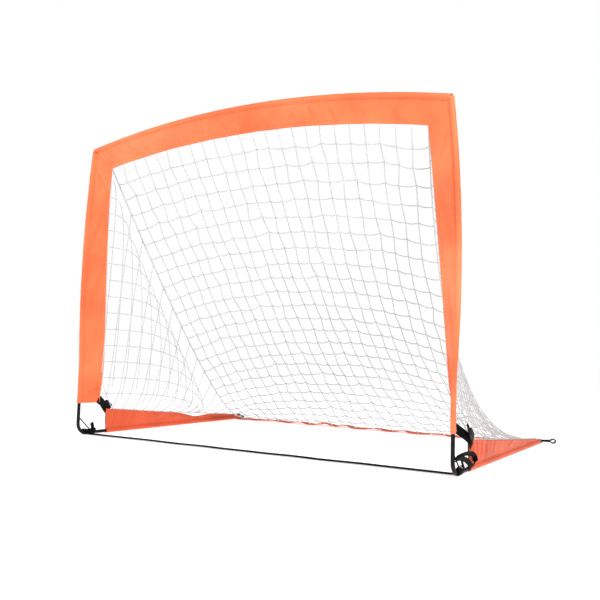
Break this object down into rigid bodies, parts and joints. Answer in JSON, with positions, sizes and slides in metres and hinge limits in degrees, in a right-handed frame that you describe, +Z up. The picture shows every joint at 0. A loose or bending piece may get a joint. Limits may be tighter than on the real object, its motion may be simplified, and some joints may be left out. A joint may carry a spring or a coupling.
{
  "type": "soccer goal frame",
  "caption": "Portable soccer goal: sprung arch in orange fabric sleeves, two swivelling ground legs with triangular side panels, rear band and white net.",
  "frame": {"origin": "on the ground, at the middle of the goal's footprint", "axes": "+X to the goal's left as a keeper stands in it facing out, along its width; -Y out of the goal mouth; +Z up"},
  "size_m": [1.2892, 0.934, 0.9606],
  "materials": {
    "sleeve_fabric": "orange woven polyester, satin",
    "panel_fabric": "deeper orange woven polyester",
    "net": "white knotless polyester mesh",
    "webbing": "black ribbed polyester webbing",
    "steel": "black powder coat",
    "plastic": "black moulded plastic",
    "fibreglass": "black pultruded fibreglass",
    "shock_cord": "braided elastic"
  },
  "bodies": {
    "root": {"crossbar_ferrule": "steel", "crossbar_shock_cord": "shock_cord", "crossbar_sleeve": "sleeve_fabric", "front_strap": "webbing", "left_crossbar_pole": "fibreglass", "left_post_ferrule": "steel", "left_post_lower_pole": "fibreglass", "left_post_shock_cord": "shock_cord", "left_post_sleeve": "sleeve_fabric", "left_post_upper_pole": "fibreglass", "left_top_elbow": "steel", "rear_ground_band": "panel_fabric", "rear_net": "net", "right_crossbar_pole": "fibreglass", "right_post_ferrule": "steel", "right_post_lower_pole": "fibreglass", "right_post_shock_cord": "shock_cord", "right_post_sleeve": "sleeve_fabric", "right_post_upper_pole": "fibreglass", "right_top_elbow": "steel"},
    "left_leg": {"left_corner_tube": "steel", "left_corner_brace": "steel", "left_ground_pole": "fibreglass", "left_rear_cap": "plastic", "left_side_panel": "panel_fabric", "left_side_net": "net", "left_corner_strap": "webbing", "left_strap_buckle": "plastic", "left_strap_wrap": "webbing", "left_stake_loop": "webbing"},
    "right_leg": {"right_corner_tube": "steel", "right_corner_brace": "steel", "right_ground_pole": "fibreglass", "right_rear_cap": "plastic", "right_side_panel": "panel_fabric", "right_side_net": "net", "right_corner_strap": "webbing", "right_strap_buckle": "plastic", "right_strap_wrap": "webbing", "right_stake_loop": "webbing", "carry_loop": "webbing"}
  },
  "joints": [
    {"name": "left_leg_fold", "type": "hinge", "parent": "root", "child": "left_leg", "pos_m": [-0.6, -0.45995, 0.15], "axis": [0, 0, -1], "range_deg": [0, 36], "deforming": ["rear_net", "rear_ground_band", "left_side_net", "front_strap", "left_post_sleeve"]},
    {"name": "right_leg_fold", "type": "hinge", "parent": "root", "child": "right_leg", "pos_m": [0.6, -0.45995, 0.15], "axis": [0, 0, 1], "range_deg": [0, 36], "deforming": ["rear_net", "rear_ground_band", "right_side_net", "front_strap", "right_post_sleeve"]}
  ]
}
